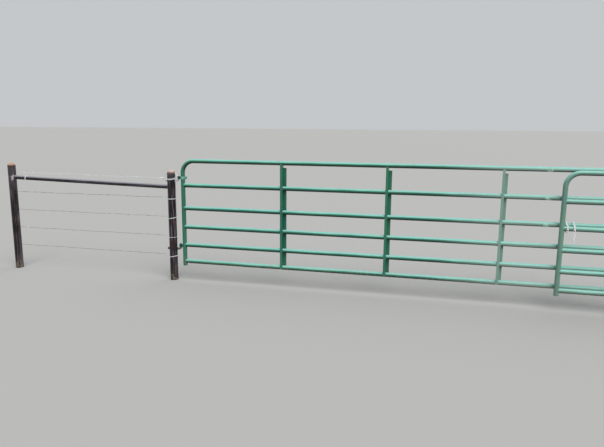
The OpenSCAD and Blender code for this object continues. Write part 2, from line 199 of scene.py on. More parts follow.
class Tree:
    """A node tree and the one way in which this script adds nodes to it."""

    def __init__(self, tree):
        self.tree = tree

    def add(self, kind, settings=None, sockets=None, out=0):
        """Adds a node with its settings, then its sockets' values or links. Returns one output,
        or several where out is a tuple."""
        node = self.tree.nodes.new(kind)
        for name, value in (settings or {}).items():
            setattr(node, name, value)
        for key, value in (sockets or {}).items():
            self.fill(pick(node.inputs, key), value)
        if isinstance(out, tuple):
            return [Reading(self, pick(node.outputs, key)) for key in out]
        return Reading(self, pick(node.outputs, out)) if len(node.outputs) else node

    def fill(self, socket, value):
        """Links a Reading, or several, and sets anything else as the socket's own value."""
        for given in value if isinstance(value, list) else [value]:
            if isinstance(given, Reading):
                self.tree.links.new(given.socket, socket)
            else:
                socket.default_value = given

    def vector(self, operation, *values):
        return self.add("ShaderNodeVectorMath", {"operation": operation}, dict(enumerate(values)))

    def scaled(self, vector, amount):
        return self.add("ShaderNodeVectorMath", {"operation": "SCALE"}, {0: vector, "Scale": amount})

    def mask(self, value, none, full):
        """A smooth step from 0 where value is none to 1 where it is full."""
        return self.add("ShaderNodeMapRange", {"interpolation_type": "SMOOTHSTEP"},
                        {"Value": value, "From Min": none, "From Max": full}, "Result")


print("tree helpers ready")

# %% [markdown]
# Finishes and pieces both need to know where the posts, pins and tubes are. These places are read
# from the boxes of the CAD nodes. The right side mirrors the left one and stands a little nearer
# to the road, so a side is a name and a way, +1 or -1. Its at() places a point from the side's
# own hinge post.

# %% Places read from the frame
class Side:
    """The posts, pins and leaf of one side. Its way is +1 where the leaf lies towards +X."""

    def __init__(self, name, way):
        self.name = name
        self.way = way
        low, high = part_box(name + "_hinge_post")
        self.post = Vector(((low.x + high.x) / 2, (low.y + high.y) / 2, 0))
        self.post_r = (high.x - low.x) / 2
        self.post_top = high.z
        low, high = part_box(name + "_brace_post")
        self.brace_x = (low.x + high.x) / 2
        self.brace_r = (high.x - low.x) / 2
        self.span = abs(self.brace_x - self.post.x)
        low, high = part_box(name + "_brace_rail")
        self.rail_r = (high.y - low.y) / 2
        low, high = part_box(name + "_upper_hinge_bolt")
        self.bolt_r = (high.y - low.y) / 2
        self.bolt_z = low.z + self.bolt_r
        self.pin_out = abs(self.edge("upper_hinge_bolt") - self.post.x) - self.bolt_r
        low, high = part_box(name + "_frame")
        self.tube_r = (high.y - low.y) / 2
        self.leaf_y = (low.y + high.y) / 2
        self.uprights = (low.x + self.tube_r, high.x - self.tube_r)

    def edge(self, node, way=1):
        """The x of a node's edge, on the leaf's side with way 1 and on the fence's with -1."""
        low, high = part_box(f"{self.name}_{node}")
        return high.x if self.way * way > 0 else low.x

    def at(self, out, back, z):
        """A point from the hinge post's axis: out towards the leaf, back from the road."""
        return Vector((self.post.x + self.way * out, self.post.y + back, z))


left = Side("left", 1)
right = Side("right", -1)
SIDES = (left, right)
pins_apart = right.post.x - left.post.x - left.pin_out - right.pin_out
print("posts", round(left.span, 3), "m apart, hinge pins", round(pins_apart, 3), "m apart")

# %% [markdown]
# A colour is chosen as it looks on a screen, from 0 to 255 in red, green and blue. A shader works
# with light, where half as bright is half the number, so each colour goes through the screen's
# curve once, in Python.

# %% Colours as seen
def shade(red, green, blue):
    """A colour as seen on a screen, from 0 to 255, turned to the light that a shader needs."""
    light = [c / 255 / 12.92 if c < 11 else ((c / 255 + 0.055) / 1.055) ** 2.4
             for c in (red, green, blue)]
    return (*light, 1)


RUST_DARK = shade(74, 44, 34)
RUST_LIGHT = shade(124, 78, 58)
SOIL_DUST = shade(150, 138, 116)
ZINC_GREY = shade(150, 154, 156)
print("dark rust gives back", round(RUST_DARK[0], 3), "of red light")

# %% [markdown]
# A finish on an old gate is layers: paint or mill scale, then what the weather adds. Each layer
# is a mask between 0 and 1 and a colour. Noise on the piece's own place makes patches, the way
# a surface faces tells where sun fades it and where dust lies, and height above the ground
# tells where rain splashes soil. Object coordinates keep a pattern fixed to its piece while the
# leaves swing.

# %% Finishes under way
class Finish(Tree):
    """A material under way, with the places and patterns that its layers are made from."""

    def __init__(self, name):
        self.material = bpy.data.materials.new(name)
        self.material.use_nodes = True
        super().__init__(self.material.node_tree)
        self.tree.nodes.clear()
        self.place = self.add("ShaderNodeTexCoord", out="Object")
        self.across = self.part(self.place, "X")
        self.depth = self.part(self.place, "Y")
        self.height = self.part(self.place, "Z")
        self.facing = self.part(self.add("ShaderNodeNewGeometry", out="Normal"), "Z")

    def part(self, vector, axis):
        return self.add("ShaderNodeSeparateXYZ", {}, {"Vector": vector}, axis)

    def noise(self, size, detail=4, stretch=(1, 1, 1)):
        """Cloudy noise with patches of about the given size, in metres."""
        scale = tuple(s / size for s in stretch)
        place = self.add("ShaderNodeMapping", {}, {"Vector": self.place, "Scale": scale})
        return self.add("ShaderNodeTexNoise", {}, {"Vector": place, "Scale": 1.0, "Detail": detail},
                        "Fac")

    def patches(self, size, none, full, detail=4, stretch=(1, 1, 1)):
        """Noise of that size with its soft middle stepped into patches."""
        return self.mask(self.noise(size, detail, stretch), none, full)

    def mix(self, amount, below, above):
        """The colour above laid over the one below by amount."""
        return self.add("ShaderNodeMix", {"data_type": "RGBA"},
                        {"Factor_Float": amount, "A_Color": below, "B_Color": above}, "Result_Color")

    def lay(self, amount, colour):
        """Lays one more colour over the whole finish by amount."""
        self.colour = self.mix(amount, self.colour, colour)

    def between(self, amount, low, high):
        """A number between low and high, such as a roughness."""
        return amount * (high - low) + low

    def close(self, roughness, relief, depth, metallic=0.0, gloss=0.5):
        """Ends the tree in one shader. The relief, 0 to 1, raises the surface by depth in metres."""
        normal = self.add("ShaderNodeBump", {}, {"Height": relief, "Distance": depth}, "Normal")
        shader = self.add("ShaderNodeBsdfPrincipled", {}, {
            "Base Color": self.colour, "Roughness": roughness, "Metallic": metallic,
            "Specular IOR Level": gloss, "Normal": normal}, "BSDF")
        self.add("ShaderNodeOutputMaterial", {}, {"Surface": shader})
        return self.material


def rust_shade(finish, size):
    """Two browns in patches, for any rusty spot."""
    return finish.mix(finish.patches(size, 0.4, 0.6, 5), RUST_DARK, RUST_LIGHT)


print("finish helpers ready")

# %% [markdown]
# The gate's paint is a blue green enamel. Its upper side is pale, partly chalky from years of sun and
# partly a painted highlight, and its underside is darkened with painted shade. Soil splashes the lowest
# rails, and rust starts in pin holes. All the painted pieces share these layers, so they are a class of
# their own. A chalky place is also duller, which is why the masks are kept until the paint is done.

# %% Gate paint
PAINT_COOL = shade(31, 102, 84)
PAINT_WARM = shade(45, 115, 86)
DEEP_GREEN_AND_SHADE = shade(2, 24, 21)
CHALK_AND_SHEEN = shade(134, 200, 190)


class GatePaint(Finish):
    """The gate's green paint, what the weather did to it, and its painted highlight and shade."""

    def __init__(self, name):
        super().__init__(name)
        self.cloud = self.noise(0.55, 3)
        self.grain = self.noise(0.012, 5)
        self.wear = self.noise(0.05, 4, (0.25, 1, 1)) * 0.5 + self.cloud * 0.4
        # Chalk on faces that look up, partly real and partly a painted highlight.
        self.chalk_and_sheen = self.mask(self.facing + self.wear, 0.55, 1.15) * 0.85
        self.metallic = 0.0
        self.colour = self.mix(self.mask(self.cloud, 0.35, 0.65), PAINT_COOL, PAINT_WARM)
        # Painted shade on faces that look down.
        self.lay(self.mask(self.facing, 0.12, -0.45) * 0.94, DEEP_GREEN_AND_SHADE)

    def weather(self):
        """Chalk with a painted highlight, dust on what faces up, and soil splashed on what is low."""
        self.lay(self.chalk_and_sheen, CHALK_AND_SHEEN)
        dust = self.mask(self.facing, 0.55, 1.0) * self.patches(0.04, 0.42, 0.70, 6)
        splash = self.mask(self.height, 0.42, 0.16) * self.patches(0.03, 0.42, 0.66, 6)
        self.dirt = (dust * 0.28).most(splash * 0.3)
        self.lay(self.dirt, SOIL_DUST)

    def pit_rust(self):
        """Rust in pin holes, on some stretches more than on others."""
        self.rust = self.patches(0.03, 0.69, 0.73, 8) * self.patches(0.4, 0.45, 0.6, 2) * 0.6
        self.lay(self.rust, rust_shade(self, 0.008))

    def done(self):
        roughness = self.between(self.chalk_and_sheen, 0.30, 0.52) + self.dirt * 0.3 + self.rust * 0.35
        relief = self.noise(0.004, 3) * 0.25 + self.noise(0.06, 3) * 0.5 - self.rust * 0.3
        return self.close(roughness, relief, 0.0008, self.metallic)


print("gate paint ready")

# %% [markdown]
# Some painted pieces have more on them. Towards its free end each leaf has a painted haze of pale light
# on its upright faces, and the three highest rails of the left leaf are rubbed bare in one spot short of
# the lap. The hinge parts have painted shade on the post's side and are chalky past the upright. A
# strap's clamp bolt was never painted. Each of these is a mask on place, since a CAD node comes in one
# piece and takes one finish.

# %% Wear of single pieces
HAZE_PALE = shade(146, 172, 162)
PAINT_RUBBED = shade(158, 200, 180)
LEFT_HAZE = (3.0, 3.9, 0.8)
RIGHT_HAZE = (5.3, 4.6, 0.5)
RUB_PLACE = 4.212
RUB_HALF = 0.033
RUB_ABOVE = 0.85
STRAP_BOLT_REACH = 0.0185
STRAP_HALF_GAP = 0.0071
SHARP = 0.0002


def haze(paint, start, end, amount):
    """Paints a pale haze on upright faces, from x = start on and in full from x = end."""
    level = paint.mask(abs(paint.facing), 0.3, 0.8)
    hazed = paint.mask(paint.across, start, end) * (1 - level) * paint.between(paint.wear, 0.5, 1.1)
    # A painted haze of pale light.
    paint.lay(hazed * amount, HAZE_PALE)


def hinge_shade(paint, side):
    """Painted shade on the post's side of the leaf's hinge upright, and chalk past it."""
    past = (paint.across - side.edge("lower_eye")) * side.way
    # Painted shade on the post's side of the upright.
    paint.lay(paint.mask(past, 0.0, -0.02) * paint.between(paint.grain, 0.5, 1.0), DEEP_GREEN_AND_SHADE)
    paint.chalk_and_sheen = paint.chalk_and_sheen.most(paint.mask(past, -0.005, 0.03) * paint.between(paint.wear, 0.2, 0.8))


def rub(paint, place):
    """A bare spot with a dark edge, round the rails that are above RUB_ABOVE."""
    edge = abs(paint.across - place) + paint.noise(0.02, 4) * 0.03
    spot = paint.mask(edge, RUB_HALF + 0.02, RUB_HALF) * paint.mask(paint.facing, 0.7, 0.3)
    spot = spot * paint.mask(paint.height, RUB_ABOVE - 0.01, RUB_ABOVE)
    paint.lay(spot * 0.5, DEEP_GREEN_AND_SHADE)
    paint.lay(spot * paint.patches(0.018, 0.36, 0.5, 3) * 0.9, PAINT_RUBBED)


def bare_bolt(paint, side):
    """Zinc on the clamp bolt, which stands out of the tail end of the side's strap."""
    low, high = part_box(side.name + "_upper_strap")
    near = side.edge("upper_strap") - side.way * STRAP_BOLT_REACH
    beyond = paint.mask((paint.across - near) * side.way, 0, SHARP)
    off = abs(paint.depth - (low.y + high.y) / 2)
    on_bolt = beyond * paint.mask(off, STRAP_HALF_GAP, STRAP_HALF_GAP + SHARP)
    paint.lay(on_bolt, paint.mix(paint.mask(paint.grain, 0.5, 0.62), ZINC_GREY, RUST_DARK))
    paint.metallic = on_bolt * 0.6


print("wear helpers ready")

# %% [markdown]
# The layers go on in this order: paint, the painted haze and the painted shade of the hinges first, then
# chalk with its painted highlight, dust and soil, the rubbed spot, and rust. Only the bare zinc of the
# bolt covers them all, because no paint was ever on it.

# %% Paint of both leaves
def gate_paint(name, hazed=None, rubbed=None, hinge_shaded=None, bolted=None):
    """A finish of gate paint, from the paint up, with the wear, painted haze and painted shade that are
    asked for.
    """
    paint = GatePaint(name)
    if hazed:
        haze(paint, *hazed)
    if hinge_shaded:
        hinge_shade(paint, hinge_shaded)
    paint.weather()
    if rubbed:
        rub(paint, rubbed)
    paint.pit_rust()
    if bolted:
        bare_bolt(paint, bolted)
    return paint.done()


leaf_paints = {"left": gate_paint("green_paint_left_leaf", hazed=LEFT_HAZE, rubbed=RUB_PLACE),
               "right": gate_paint("green_paint_right_leaf", hazed=RIGHT_HAZE)}
print("finishes:", [paint.name for paint in leaf_paints.values()])

# %% [markdown]
# The posts and the brace rail are old well pipe. Its mill scale is nearly black with a purple brown
# cast, rain has drawn pale streaks along it, and rust shows in patches. The upper part of a post has
# bleached a little. A streak is only noise stretched along the pipe, and the bleaching is a mask on
# height with a ragged edge. Faces that look up get a painted highlight, in the colour of the sky on the
# rail. The brace post also has a pale smear beside the end of the rail.

# %% Pipe finishes
SCALE_BLACK = shade(20, 15, 20)
SCALE_BROWN = shade(40, 28, 30)
GREY_AND_SHEEN = shade(102, 95, 104)
SKY_SHEEN = shade(150, 154, 162)
SMEAR_GREY = shade(176, 166, 172)
PIPE_GLOSS = 0.3
BRACE_HIGH_Z = 1.204
SMEAR_REACH = 0.036
SMEAR_RAGGED = 0.09
SMEAR_OUT = 0.040
SMEAR_IN = 0.018
SMEAR_OVER = 0.004


def old_pipe(name, bleach_from, stretch, streaks=1.0, upper=GREY_AND_SHEEN, smears=()):
    """Mill scale gone streaky. It bleaches above bleach_from. Stretch runs along the pipe, and streaks
    is how strong they are. Upper is the colour of a painted highlight on faces that look up, and a pale
    smear lies round each of the given places."""
    pipe = Finish(name)
    pipe.colour = pipe.mix(pipe.patches(0.09, 0.4, 0.62, 5), SCALE_BLACK, SCALE_BROWN)
    streak = pipe.patches(0.022, 0.50, 0.64, 4, stretch) * pipe.patches(0.3, 0.3, 0.6, 2)
    bleach = pipe.mask(pipe.height + pipe.noise(0.11, 5) * 0.3, bleach_from + 0.1, bleach_from + 0.25)
    sheen = pipe.mask(pipe.facing, 0.25, 0.75)
    grey = (streak * streaks).most(bleach * 0.3)
    pipe.lay(grey, GREY_AND_SHEEN)
    # A painted highlight on faces that look up.
    pipe.lay(sheen * pipe.between(pipe.noise(0.05), 0.6, 1.0), upper)
    rust = pipe.patches(0.05, 0.58, 0.70, 7, (1, 1, 0.4)) * pipe.between(bleach, 0.35, 0.8)
    pipe.lay(rust * 0.6, rust_shade(pipe, 0.03))
    foot = pipe.mask(pipe.height, 0.16, 0.01) * pipe.patches(0.035, 0.40, 0.66, 6)
    pipe.lay(foot * 0.4, SOIL_DUST)
    for place in smears:
        away = pipe.add("ShaderNodeVectorMath", {"operation": "DISTANCE"},
                        {0: pipe.place, 1: place}, "Value")
        away = away + pipe.noise(0.03, 5) * SMEAR_RAGGED
        smear = pipe.mask(away, SMEAR_REACH + SMEAR_RAGGED / 2, SMEAR_REACH + SMEAR_RAGGED / 3)
        pipe.lay(smear * 0.85, SMEAR_GREY)
    roughness = pipe.between(grey, 0.36, 0.5) + rust * 0.25 + foot * 0.2
    relief = pipe.noise(0.005, 5) * 0.3 + pipe.noise(0.05, 4) * 0.4 + rust * 0.5
    return pipe.close(roughness, relief, 0.0012, gloss=PIPE_GLOSS)


ALONG_POST = (1, 1, 0.06)
ALONG_RAIL = (0.05, 1, 1)
smears = [side.at(-side.span + SMEAR_OUT, SMEAR_IN - side.brace_r, BRACE_HIGH_Z + SMEAR_OVER)
          for side in SIDES]
hinge_pipe = old_pipe("rusty_pipe_hinge_post", 1.22, ALONG_POST)
brace_pipe = old_pipe("rusty_pipe_brace_post", 1.05, ALONG_POST, 0.6, smears=smears)
rail_pipe = old_pipe("rusty_pipe_rail", 3.0, ALONG_RAIL, 0.5, SKY_SHEEN)
print("finishes:", hinge_pipe.name, brace_pipe.name, rail_pipe.name)

# %% [markdown]
# Each post is closed by a domed cap. It has rusted in flakes of two browns. Its crown is pale, partly
# with a bloom of rust and partly with a painted highlight, and its rim has painted shade. The brace
# post's cap is the redder one.

# %% Cap finishes
CAP_RIM_SHADE = shade(42, 30, 28)


def rusty_cap(name, light, dark, crown_and_sheen):
    """Flaking rust in two browns, with a pale crown that is partly bloom and partly painted highlight,
    and painted shade on the rim.
    """
    cap = Finish(name)
    flakes = cap.patches(0.022, 0.42, 0.6, 6)
    cap.colour = cap.mix(flakes, light, dark)
    bloom_and_sheen = cap.mask(cap.facing, 0.2, 0.8) * cap.patches(0.014, 0.30, 0.52, 5)
    # A pale crown, partly bloom and partly a painted highlight.
    cap.lay(bloom_and_sheen * 0.85, crown_and_sheen)
    # Painted shade on the rim.
    cap.lay(cap.mask(cap.facing, 0.45, 0.05) * 0.8, CAP_RIM_SHADE)
    relief = cap.noise(0.006, 6) * 0.6 + flakes * 0.4
    return cap.close(cap.between(bloom_and_sheen, 0.72, 0.88), relief, 0.0016, gloss=PIPE_GLOSS)


hinge_cap = rusty_cap("rusty_hinge_cap", shade(126, 98, 86), shade(88, 66, 58), shade(206, 186, 174))
brace_cap = rusty_cap("rusty_brace_cap", shade(132, 94, 80), shade(92, 60, 50), shade(200, 160, 142))
print("finishes:", hinge_cap.name, brace_cap.name)

# %% [markdown]
# Small iron parts differ in what is left of their coating. Fence wire and chain are galvanised,
# which weathers to a dull white bloom with spots of rust, and the low strands beyond the posts
# have rusted most. The lower hinge nuts are black iron and the upper ones zinc. A weld on a post
# has no coating at all. One function with a few colours and amounts makes them all.

# %% Wire, zinc, black iron and weld finishes
ZINC_BLOOM = shade(214, 215, 217)
ZINC_WHITE = shade(248, 248, 250)
ZINC_DARK = shade(112, 116, 120)
IRON_BLACK = shade(40, 42, 42)
IRON_GREY = shade(72, 72, 70)

# The frame's origin is at the left hinge post, so this is also the middle of the gateway.
gateway_half = (left.post.x + right.post.x) / 2


def small_iron(name, dark, light, rust_from, metallic, roughness, rust_below=None, zinc_above=None):
    """Two shades of a metal in fine patches, with rust where its noise passes rust_from. Beyond
    the hinge posts and below the height rust_below there is much more of it. Above zinc_above the
    metal is zinc."""
    iron = Finish(name)
    patch = iron.patches(0.009, 0.38, 0.62, 5)
    rust = iron.patches(0.02, rust_from, rust_from + 0.06, 6)
    iron.colour = iron.mix(patch, dark, light)
    if rust_below:
        low = iron.mask(iron.height, rust_below, rust_below - 0.05)
        off_middle = abs(iron.across - gateway_half)
        outside = iron.mask(off_middle, gateway_half + 0.09, gateway_half + 0.16)
        rust = rust.most(low * outside * iron.patches(0.05, 0.22, 0.5, 6) * 0.8)
    if zinc_above:
        high = iron.mask(iron.height, zinc_above, zinc_above + 0.01)
        iron.lay(high, iron.mix(patch, ZINC_GREY, ZINC_WHITE))
    iron.lay(rust, rust_shade(iron, 0.006))
    relief = iron.noise(0.003, 4) * 0.6 + rust * 0.4
    return iron.close(iron.between(rust, roughness, 0.8), relief, 0.0003,
                      iron.between(rust, metallic, 0.1))


fence_zinc = small_iron("fence_wire", ZINC_BLOOM, ZINC_WHITE, 0.64, 0.1, 0.45, rust_below=1.15)
keeper_zinc = small_iron("keeper_wire", ZINC_WHITE, ZINC_WHITE, 0.74, 0.0, 0.40)
bolt_zinc = small_iron("zinc_iron", ZINC_GREY, ZINC_BLOOM, 0.58, 0.4, 0.40)
bolt_dark = small_iron("zinc_iron_rusty", IRON_GREY, ZINC_DARK, 0.58, 0.3, 0.50)
chain_zinc = small_iron("zinc_chain", ZINC_BLOOM, ZINC_WHITE, 0.70, 0.1, 0.38)
nut_iron = small_iron("dark_iron", IRON_BLACK, IRON_GREY, 0.56, 0.3, 0.55, zinc_above=0.8)
post_weld = small_iron("post_weld", GREY_AND_SHEEN, ZINC_GREY, 0.50, 0.2, 0.5)
print("seven finishes for small iron")

# %% [markdown]
# The CAD nodes keep their meshes and only take a finish. A table says which finish each kind of
# node has, and what isn't in it has its own leaf's paint. The strap and the lower eye have a
# paint of their own, because it has to know where their upright and clamp bolt are.

# %% Finishes on the CAD nodes
NODE_FINISHES = {
    "hinge_post": hinge_pipe, "hinge_post_cap": hinge_cap, "brace_post": brace_pipe,
    "brace_post_cap": brace_cap, "brace_rail": rail_pipe, "upper_hinge_bolt": bolt_zinc,
    "lower_hinge_bolt": bolt_dark, "hinge_nuts": nut_iron, "chain": chain_zinc,
    "keeper_wire": keeper_zinc, "fence_wires": fence_zinc,
}


def dress(node, finish):
    """Gives a CAD node's object one finish, in the slots that it came with."""
    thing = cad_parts[node]
    if not thing.material_slots:
        thing.data.materials.append(finish)
    for place in thing.material_slots:
        place.material = finish


for side in SIDES:
    own = {"upper_strap": gate_paint(side.name + "_strap_paint", hinge_shaded=side, bolted=side),
           "lower_eye": gate_paint(side.name + "_eye_paint", hinge_shaded=side)}
    finishes = {**NODE_FINISHES, **own}
    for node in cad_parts:
        name, kind = node.split("_", 1)
        if name == side.name:
            dress(node, finishes.get(kind, leaf_paints[name]))
print("dressed", len(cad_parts), "nodes")

# %% [markdown]
# Wire, weld beads and threads all follow a path, so they are made by Geometry Nodes. A path is
# given as a mesh of points and edges, which the tree turns into curves. Recipe builds such a
# tree, with named inputs for its sizes and a few helpers that the recipes share.

# %% Recipes that follow a path
KINDS = {float: "NodeSocketFloat", int: "NodeSocketInt"}


class Recipe(Tree):
    """A Geometry Nodes tree that starts with paths and has named inputs."""

    def __init__(self, name, **inputs):
        super().__init__(bpy.data.node_groups.new(name, "GeometryNodeTree"))
        slots = self.tree.interface
        slots.new_socket("Path", in_out="INPUT", socket_type="NodeSocketGeometry")
        for label, value in inputs.items():
            slots.new_socket(label, in_out="INPUT", socket_type=KINDS[type(value)]).default_value = value
        slots.new_socket("Finish", in_out="INPUT", socket_type="NodeSocketMaterial")
        slots.new_socket("Result", in_out="OUTPUT", socket_type="NodeSocketGeometry")
        self.curves = self.add("GeometryNodeMeshToCurve", {}, {"Mesh": self.read("Path")})

    def read(self, label):
        """What a named input is given when the recipe is used."""
        return self.add("NodeGroupInput", out=label)

    def point(self, x=0.0, y=0.0, z=0.0):
        """Three numbers as one place, size or turn."""
        return self.add("ShaderNodeCombineXYZ", {}, {"X": x, "Y": y, "Z": z})

    def circle(self, radius, sides):
        """A round profile, to be swept along a curve."""
        return self.add("GeometryNodeCurvePrimitiveCircle", {}, {"Resolution": sides, "Radius": radius})

    def fine(self, curves, step):
        """The curves with points at an even distance, close enough for a smooth twist."""
        return self.add("GeometryNodeResampleCurve", {"mode": "LENGTH"},
                        {"Curve": curves, "Length": step})

    def marks(self, curve, spacing):
        """Points at an even distance along a curve, and how the curve is turned at each."""
        return self.add("GeometryNodeCurveToPoints", {"mode": "LENGTH"},
                        {"Curve": curve, "Length": spacing}, ("Points", "Rotation"))

    def chance(self, low, high):
        """A seeded random number for each point."""
        return self.add("FunctionNodeRandomValue", {"data_type": "FLOAT"},
                        {"Min_001": low, "Max_001": high, "Seed": self.read("Seed")}, "Value_001")

    def travelled(self):
        """Length along the curve up to each point."""
        return self.add("GeometryNodeSplineParameter", out="Length")

    def swept(self, curves, profile):
        """A closed tube with that profile along each curve."""
        return self.add("GeometryNodeCurveToMesh", {},
                        {"Curve": curves, "Profile Curve": profile, "Fill Caps": True})

    def give(self, geometry):
        """Ends the tree: everything real, smooth and with its finish."""
        real = self.add("GeometryNodeRealizeInstances", {}, {"Geometry": geometry})
        smooth = self.add("GeometryNodeSetShadeSmooth", {}, {0: real})
        done = self.add("GeometryNodeSetMaterial", {},
                        {"Geometry": smooth, "Material": self.read("Finish")})
        self.add("NodeGroupOutput", {}, {0: done})


print("recipe helpers ready")

# %% [markdown]
# A recipe is used by giving its tree to a modifier on an object that holds the paths. A modifier knows
# its inputs by their identifiers, so those are looked up by name first. The evaluated mesh is then
# copied into a piece of its own, and the holder goes away with its modifier. A plain mesh is needed
# because the piece has to ride on a body.

# %% Pieces from recipes
def path_mesh(name, paths):
    """One mesh of edges for many paths. Each path is a list of points and whether it is closed."""
    points, edges = [], []
    for path, closed in paths:
        first = len(points)
        points += [tuple(p) for p in path]
        edges += [(first + i, first + i + 1) for i in range(len(path) - 1)]
        if closed:
            edges.append((len(points) - 1, first))
    mesh = bpy.data.meshes.new(name)
    mesh.from_pydata(points, edges, [])
    return mesh


def make(name, recipe, body, slot, finish, paths, **sizes):
    """Runs a recipe along paths and keeps the result as a plain mesh on a body."""
    holder = bpy.data.objects.new(name + "_path", path_mesh(name + "_path", paths))
    growth = holder.modifiers.new("recipe", "NODES")
    growth.node_group = recipe.tree
    given = {**sizes, "Finish": finish}
    for socket in recipe.tree.interface.items_tree:
        if socket.name in given:
            growth[socket.identifier] = given[socket.name]
    bpy.context.scene.collection.objects.link(holder)
    grown = holder.evaluated_get(bpy.context.evaluated_depsgraph_get())
    piece = bpy.data.objects.new(name, bpy.data.meshes.new_from_object(grown))
    bpy.data.objects.remove(holder)
    bpy.context.scene.collection.objects.link(piece)
    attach(piece, body)
    print(name, "has", len(piece.data.polygons), "faces from", len(paths), "paths")
    return piece


print("pieces can be made")

# %% [markdown]
# A long strand of wire is never quite straight. It wanders by a few millimetres where it is free
# and stays put where it is held. Smooth noise at each point's own place gives the wander, and a
# mask on the length along the strand keeps its ends still.

# %% Slack of a long strand
FREE_FROM, FREE_TO = 0.06, 2.16
FREE_EASE = 0.3
SLACK_SCALE = 6.0
SLACK_SHARES = (0.0, 0.4, 2.0)


def slack(recipe, curves):
    """Lets a strand wander on its free run, mostly up and down, by the recipe's own Wander."""
    way = recipe.travelled()
    free = (recipe.mask(way, FREE_FROM, FREE_FROM + FREE_EASE)
            * recipe.mask(way, FREE_TO, FREE_TO - FREE_EASE))
    cloud = recipe.add("ShaderNodeTexNoise", {}, {"Scale": SLACK_SCALE, "Detail": 2.0}, "Color")
    off = recipe.vector("MULTIPLY", recipe.vector("SUBTRACT", cloud, (0.5, 0.5, 0.5)), SLACK_SHARES)
    return recipe.add("GeometryNodeSetPosition", {}, {
        "Geometry": curves, "Offset": recipe.scaled(off, free * recipe.read("Wander"))})


print("a strand is free from", FREE_FROM, "to", FREE_TO, "m")

# %% [markdown]
# Barbed wire is two thin wires laid round each other. The quickest honest way to model that is
# to sweep two small circles side by side along the path and to turn them as they go, which the
# curve's tilt does. With one circle the same recipe makes plain wire.

# %% Recipe for twisted wire
def twisted_wire():
    recipe = Recipe("twisted_wire", Wire=0.0025, Count=2, Lay=0.07, Step=0.006, Wander=0.0, Sides=6)
    wire, count = recipe.read("Wire"), recipe.read("Count")
    loose = slack(recipe, recipe.fine(recipe.curves, recipe.read("Step")))
    turned = recipe.add("GeometryNodeSetCurveTilt", {}, {
        "Curve": loose, "Tilt": recipe.travelled() / recipe.read("Lay") * math.tau})
    row = recipe.add("GeometryNodeMeshLine", {}, {
        "Count": count, "Start Location": recipe.point(x=wire * (count - 1) * -0.5),
        "Offset": recipe.point(x=wire)})
    circles = recipe.add("GeometryNodeInstanceOnPoints", {}, {
        "Points": row, "Instance": recipe.circle(wire * 0.5, recipe.read("Sides"))})
    profile = recipe.add("GeometryNodeRealizeInstances", {}, {"Geometry": circles})
    recipe.give(recipe.swept(turned, profile))
    return recipe


twist_recipe = twisted_wire()
print("recipe:", twist_recipe.tree.name)

# %% [markdown]
# A coil is the same idea one step on: the path's own points are moved out to a circle that turns
# as it goes. That one recipe ties a wire's end round its strand, winds a wire round a pipe and
# cuts a screw thread, which is only a tight coil of small wire half sunk in its bolt.

# %% Recipe for a coil
COIL_STEPS = 14


def coil():
    recipe = Recipe("coil", Wire=0.0025, Radius=0.004, Pitch=0.003, Sides=6)
    pitch = recipe.read("Pitch")
    fine = recipe.fine(recipe.curves, pitch / COIL_STEPS)
    out = recipe.add("ShaderNodeVectorRotate", {"rotation_type": "AXIS_ANGLE"}, {
        "Vector": recipe.add("GeometryNodeInputNormal"),
        "Axis": recipe.add("GeometryNodeInputTangent"),
        "Angle": recipe.travelled() / pitch * math.tau})
    wound = recipe.add("GeometryNodeSetPosition", {}, {
        "Geometry": fine, "Offset": recipe.scaled(out, recipe.read("Radius"))})
    wire = recipe.circle(recipe.read("Wire") * 0.5, recipe.read("Sides"))
    recipe.give(recipe.swept(wound, wire))
    return recipe


coil_recipe = coil()
print("recipe:", coil_recipe.tree.name)

# %% [markdown]
# A barb is a short wire wound once round the strand, with both cut ends standing off. One barb
# is built inside the tree from a spiral and two straight pieces, and set along the strand every
# five inches. The strand takes its slack before its held ends are trimmed off, so each barb sits
# on the wire. A seeded random roll leans each barb a little differently. The roll is kept small,
# so that the points stand up and down.

# %% Recipe for barbs
BARB_SIDES = 5
WRAP_STEPS = 10
WRAP_RISE_SHARE = 1.1


def barb_line(recipe):
    """One barb's wire: a straight end, a turn round the strand and another straight end."""
    radius, reach = recipe.read("Radius"), recipe.read("Reach")
    rise = recipe.read("Wire") * WRAP_RISE_SHARE
    wrap = recipe.add("GeometryNodeCurveSpiral", {}, {
        "Resolution": WRAP_STEPS, "Rotations": 1.0, "Start Radius": radius, "End Radius": radius,
        "Height": rise})
    ends = [recipe.add("GeometryNodeCurvePrimitiveLine", {}, {
        "Start": recipe.point(radius, start, height), "End": recipe.point(radius, end, height)})
        for start, end, height in ((reach * -1, 0, 0), (0, reach, rise))]
    return recipe.add("GeometryNodeJoinGeometry", {}, {"Geometry": [wrap, *ends]})


def barbs():
    recipe = Recipe("barbs", Wire=0.002, Radius=0.0036, Reach=0.013, Spacing=0.127, Seed=4,
                    Roll=0.25, Wander=0.0, Step=0.006, Start=0.17, End=2.06)
    barb = recipe.swept(barb_line(recipe), recipe.circle(recipe.read("Wire") * 0.5, BARB_SIDES))
    strand = recipe.add("GeometryNodeTrimCurve", {"mode": "LENGTH"}, {
        "Curve": slack(recipe, recipe.fine(recipe.curves, recipe.read("Step"))),
        "Start_001": recipe.read("Start"), "End_001": recipe.read("End")})
    points, along = recipe.marks(strand, recipe.read("Spacing"))
    roll = recipe.chance(recipe.read("Roll") * -1, recipe.read("Roll"))
    turn = recipe.add("FunctionNodeEulerToRotation", {}, {"Euler": recipe.point(z=roll)})
    lean = recipe.add("FunctionNodeRotateRotation", {"rotation_space": "LOCAL"},
                      {"Rotation": along, "Rotate By": turn})
    recipe.give(recipe.add("GeometryNodeInstanceOnPoints", {},
                           {"Points": points, "Instance": barb, "Rotation": lean}))
    return recipe


